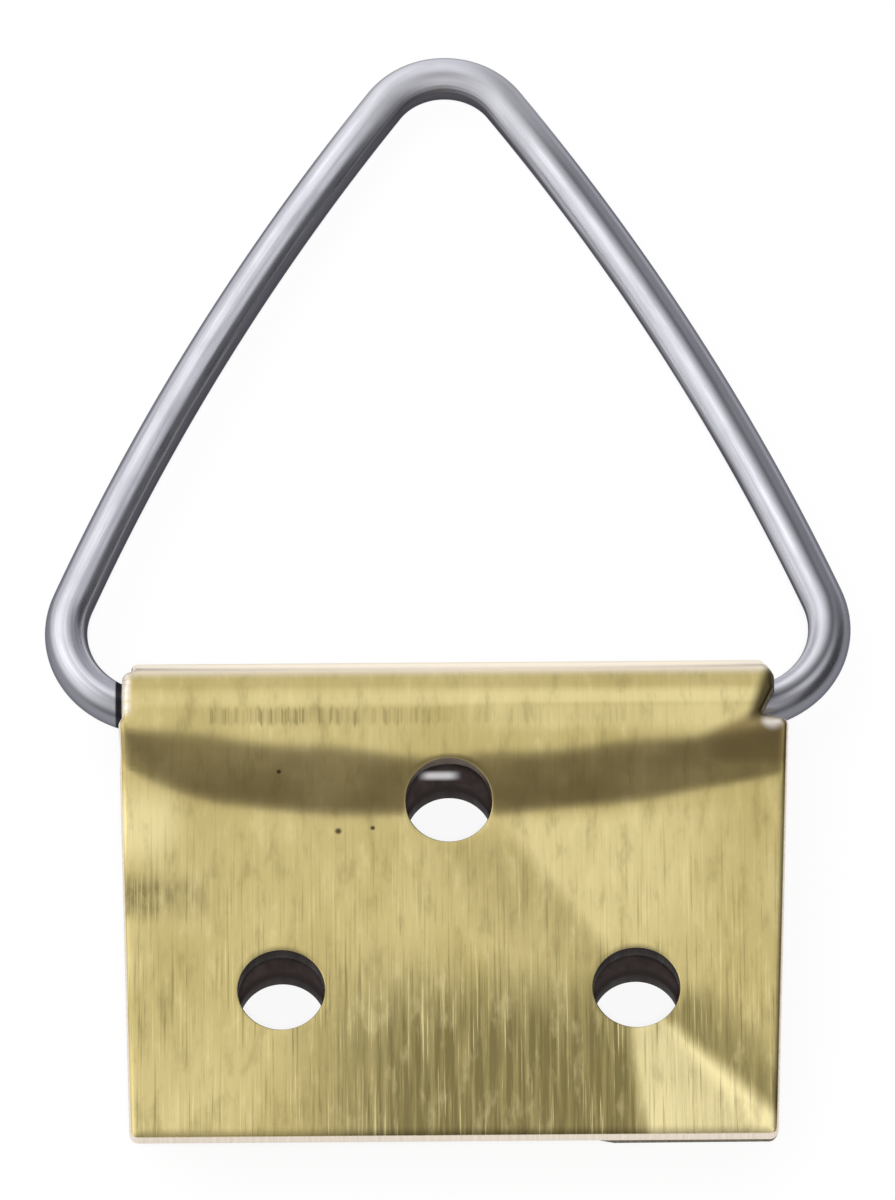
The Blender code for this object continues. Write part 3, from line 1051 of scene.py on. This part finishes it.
# Stripes of painted shade along the wire, from -1 on the triangle's inner side to 1 on its outer side, and
# how uneven they are
STRIPE_WAVE = 0.16
GREY_STRIPE = (-0.3, 0.2)
PALE_GREY_STRIPE = (0.18, 0.4, 0.0, 0.9)
OUTER_STRIPE = (0.66, 0.9, 0.0, 0.9)
INNER_STRIPE = (-0.58, -0.82)

# Places on the triangle: its right leg, with greyer painted shade, where the inner stripe narrows, the tip
# that a hook wears matt and that is painted lighter, and the painted contact shadow where the wire enters
# the knuckle on the left
RIGHT_LEG_FADE = (1 * MM, 4 * MM)
NARROW_FADE = (-3 * MM, 5 * MM, 0.0, 0.13)
WORN_AND_LIT_TIP_FADE = (BAR_AXIS.y + 28 * MM, BAR_AXIS.y + 33 * MM)
LIT_TIP_SHARE = 0.4
WORN_TIP_ROUGHNESS = 0.2
CONTACT_SHADOW_BAND = (-15.55 * MM, -15.25 * MM, 0.05 * MM)
CONTACT_SHADOW_FADE = (BAR_AXIS.y + 3 * MM, BAR_AXIS.y + 2 * MM)


def striped_steel(tree, colour, outward, x, worn_and_lit_tip):
    """Colour of the wire with painted shade in stripes, grey outside and dark inside, and a tip painted
    lighter.
    """
    on_right = remap(tree, x, *RIGHT_LEG_FADE)
    # Painted shade in stripes along the wire
    grey = product(tree, on_right, remap(tree, outward, *GREY_STRIPE))
    colour = mix_colour(tree, grey, colour, GREY_STEEL)
    pale_grey = product(tree, on_right, remap(tree, outward, *PALE_GREY_STRIPE))
    colour = mix_colour(tree, pale_grey, colour, PALE_GREY_STEEL)
    colour = mix_colour(tree, remap(tree, outward, *OUTER_STRIPE), colour, OUTER_STEEL)
    # Painted light on the tip, which is also worn matt
    colour = mix_colour(tree, product(tree, worn_and_lit_tip, LIT_TIP_SHARE), colour, LIT_TIP_STEEL)
    inner_side = math_node(tree, "ADD", outward, remap(tree, x, *NARROW_FADE))
    return mix_colour(tree, remap(tree, inner_side, *INNER_STRIPE), colour, INNER_STEEL)


def plated_steel():
    """Bright drawn wire with painted shade on its sides and by the knuckle, and a tip worn matt and
    painted lighter.
    """
    material, tree, shader = new_material("bright_plated_steel")
    drawn = node(tree, "ShaderNodeAttribute", attribute_name="drawn").outputs["Vector"]
    outward = node(tree, "ShaderNodeSeparateXYZ", {0: drawn}).outputs["X"]
    here = node(tree, "ShaderNodeTexCoord").outputs["Object"]
    parts = node(tree, "ShaderNodeSeparateXYZ", {0: here}).outputs
    x, y = parts["X"], parts["Y"]
    lines = noise(tree, drawn, *DRAWN_GRAIN)
    cloud = noise(tree, drawn, *STEEL_CLOUD_GRAIN)
    uneven = math_node(tree, "MULTIPLY_ADD", lines, STRIPE_WAVE, outward)
    worn_and_lit_tip = remap(tree, y, *WORN_AND_LIT_TIP_FADE)
    colour = mix_colour(tree, remap(tree, lines, *NOISE_RANGE), DARK_LINED_STEEL, BRIGHT_LINED_STEEL)
    colour = mix_colour(tree, remap(tree, cloud, *STEEL_CLOUDS), colour, CLOUDED_STEEL)
    colour = striped_steel(tree, colour, uneven, x, worn_and_lit_tip)
    # Painted contact shadow where the wire enters the knuckle on the left
    contact_shadow = product(tree, band(tree, x, *CONTACT_SHADOW_BAND), remap(tree, y, *CONTACT_SHADOW_FADE))
    colour = mix_colour(tree, contact_shadow, colour, STEEL_CONTACT_SHADOW)
    tree.links.new(colour, shader.inputs["Base Color"])
    shader.inputs["Metallic"].default_value = 1
    shader.inputs["Specular Tint"].default_value = STEEL_EDGE_TINT
    roughness = remap(tree, cloud, *STEEL_ROUGHNESS)
    roughness = math_node(tree, "MULTIPLY_ADD", worn_and_lit_tip, WORN_TIP_ROUGHNESS, roughness)
    tree.links.new(roughness, shader.inputs["Roughness"])
    add_bump(tree, shader, lines)
    return material


# Floor

FLOOR_SIZE = 14.0
FLOOR_COLOUR = (0.9, 0.9, 0.9, 1)
FLOOR_GLOW = (1, 1, 1, 1)
FLOOR_GLOW_SHARE = 0.85


def floor_material():
    """White that keeps the object's shadow; part of it glows where it is seen or mirrored."""
    material, tree, principled = new_material("pale_floor")
    tree.nodes.remove(principled)
    rays = node(tree, "ShaderNodeLightPath").outputs
    seen = strongest(tree, [rays[f"Is {kind} Ray"] for kind in ("Camera", "Glossy", "Transmission")])
    share = product(tree, seen, FLOOR_GLOW_SHARE)
    matt = node(tree, "ShaderNodeBsdfDiffuse", {"Color": FLOOR_COLOUR}).outputs[0]
    glow = node(tree, "ShaderNodeEmission", {"Color": FLOOR_GLOW, "Strength": 1.0}).outputs[0]
    mixed = node(tree, "ShaderNodeMixShader", {0: share, 1: matt, 2: glow}).outputs[0]
    tree.links.new(mixed, tree.nodes["Material Output"].inputs["Surface"])
    return material


def pale_floor():
    mesh = bpy.data.meshes.new("floor")
    half = FLOOR_SIZE / 2
    corners = [(-half, -half, 0), (half, -half, 0), (half, half, 0), (-half, half, 0)]
    mesh.from_pydata(corners, [], [(0, 1, 2, 3)])
    mesh.materials.append(floor_material())
    floor = bpy.data.objects.new("floor", mesh)
    bpy.context.scene.collection.objects.link(floor)


# Light

# Sky: its level, bright boxes as direction, inner and outer angle and strength, and shades as direction,
# inner and outer angle and what they keep of red, green and blue
SKY_LEVEL = 0.5
SKY_BOXES = [
    ((-0.3, 0.5, 0.81), 20, 44, 0.68),
    ((-0.92, 0.05, 0.38), 18, 46, 0.55),
    ((0.0, 1.0, 0.12), 20, 50, 0.42),
    ((0.0, -0.7, 0.71), 12, 28, 0.4),
    ((0.48, 0.1, 0.87), 10, 22, 0.65),
]
SKY_SHADES = [
    ((-0.02, 0.02, 1.0), 10, 21, (0.09, 0.07, 0.08)),
    ((0.97, -0.1, 0.2), 28, 42, (0.2, 0.2, 0.21)),
    ((0.6, 0.68, 0.48), 27, 42, (0.58, 0.58, 0.61)),
    ((0.0, -1.0, 0.1), 15, 31, (0.25, 0.25, 0.26)),
]
FLOOR_LAMP_TILT = math.radians(24)
FLOOR_LAMP_SPREAD = math.radians(9)
FLOOR_LAMP_STRENGTH = 1.9


def lobe(tree, view, direction, inner, outer):
    """1 within the inner angle of a direction of the sky, falling to 0 at the outer angle."""
    near = vector_node(tree, "DOT_PRODUCT", view, Vector(direction).normalized())["Value"]
    return remap(tree, near, math.cos(math.radians(outer)), math.cos(math.radians(inner)))


def studio_light():
    """Soft light from the sky: bright boxes around, and dark overhead, by the camera and on the right."""
    world = bpy.data.worlds.new("studio")
    bpy.context.scene.world = world
    world.use_nodes = True
    tree = world.node_tree
    view = node(tree, "ShaderNodeTexCoord").outputs["Generated"]
    light = SKY_LEVEL
    for direction, inner, outer, strength in SKY_BOXES:
        box = lobe(tree, view, direction, inner, outer)
        light = math_node(tree, "MULTIPLY_ADD", box, strength, light)
    for direction, inner, outer, kept in SKY_SHADES:
        shade = lobe(tree, view, direction, inner, outer)
        light = mix_colour(tree, shade, light, (*kept, 1), "MULTIPLY")
    tree.links.new(light, tree.nodes["Background"].inputs["Color"])


def floor_lamp():
    """Soft lamp from above that lights the floor and casts the shadow, and isn't mirrored in the metal."""
    data = bpy.data.lights.new("floor_lamp", "SUN")
    data.energy = FLOOR_LAMP_STRENGTH
    data.angle = FLOOR_LAMP_SPREAD
    lamp = bpy.data.objects.new("floor_lamp", data)
    bpy.context.scene.collection.objects.link(lamp)
    lamp.rotation_euler.x = FLOOR_LAMP_TILT
    lamp.visible_glossy = False


# Camera

CAMERA_TILT = math.radians(26)
CAMERA_ROLL = math.radians(0.42)
CAMERA_DISTANCE = 0.626
CAMERA_LENS = 400
CAMERA_CLIP_START = 0.01
AIM_ABOVE_BAR = 5.75


def photo_camera():
    data = bpy.data.cameras.new("photo_camera")
    data.lens = CAMERA_LENS
    data.clip_start = CAMERA_CLIP_START
    camera = bpy.data.objects.new("photo_camera", data)
    bpy.context.scene.collection.objects.link(camera)
    target = BAR_AXIS + Vector((0, AIM_ABOVE_BAR, 0)) * MM
    away = Matrix.Rotation(CAMERA_TILT, 4, "X") @ Matrix.Translation((0, 0, CAMERA_DISTANCE))
    camera.matrix_world = Matrix.Translation(target) @ away @ Matrix.Rotation(-CAMERA_ROLL, 4, "Z")
    bpy.context.scene.camera = camera


build_strap()
build_wire()
pale_floor()
studio_light()
floor_lamp()
photo_camera()
bpy.context.scene.view_settings.view_transform = "Standard"
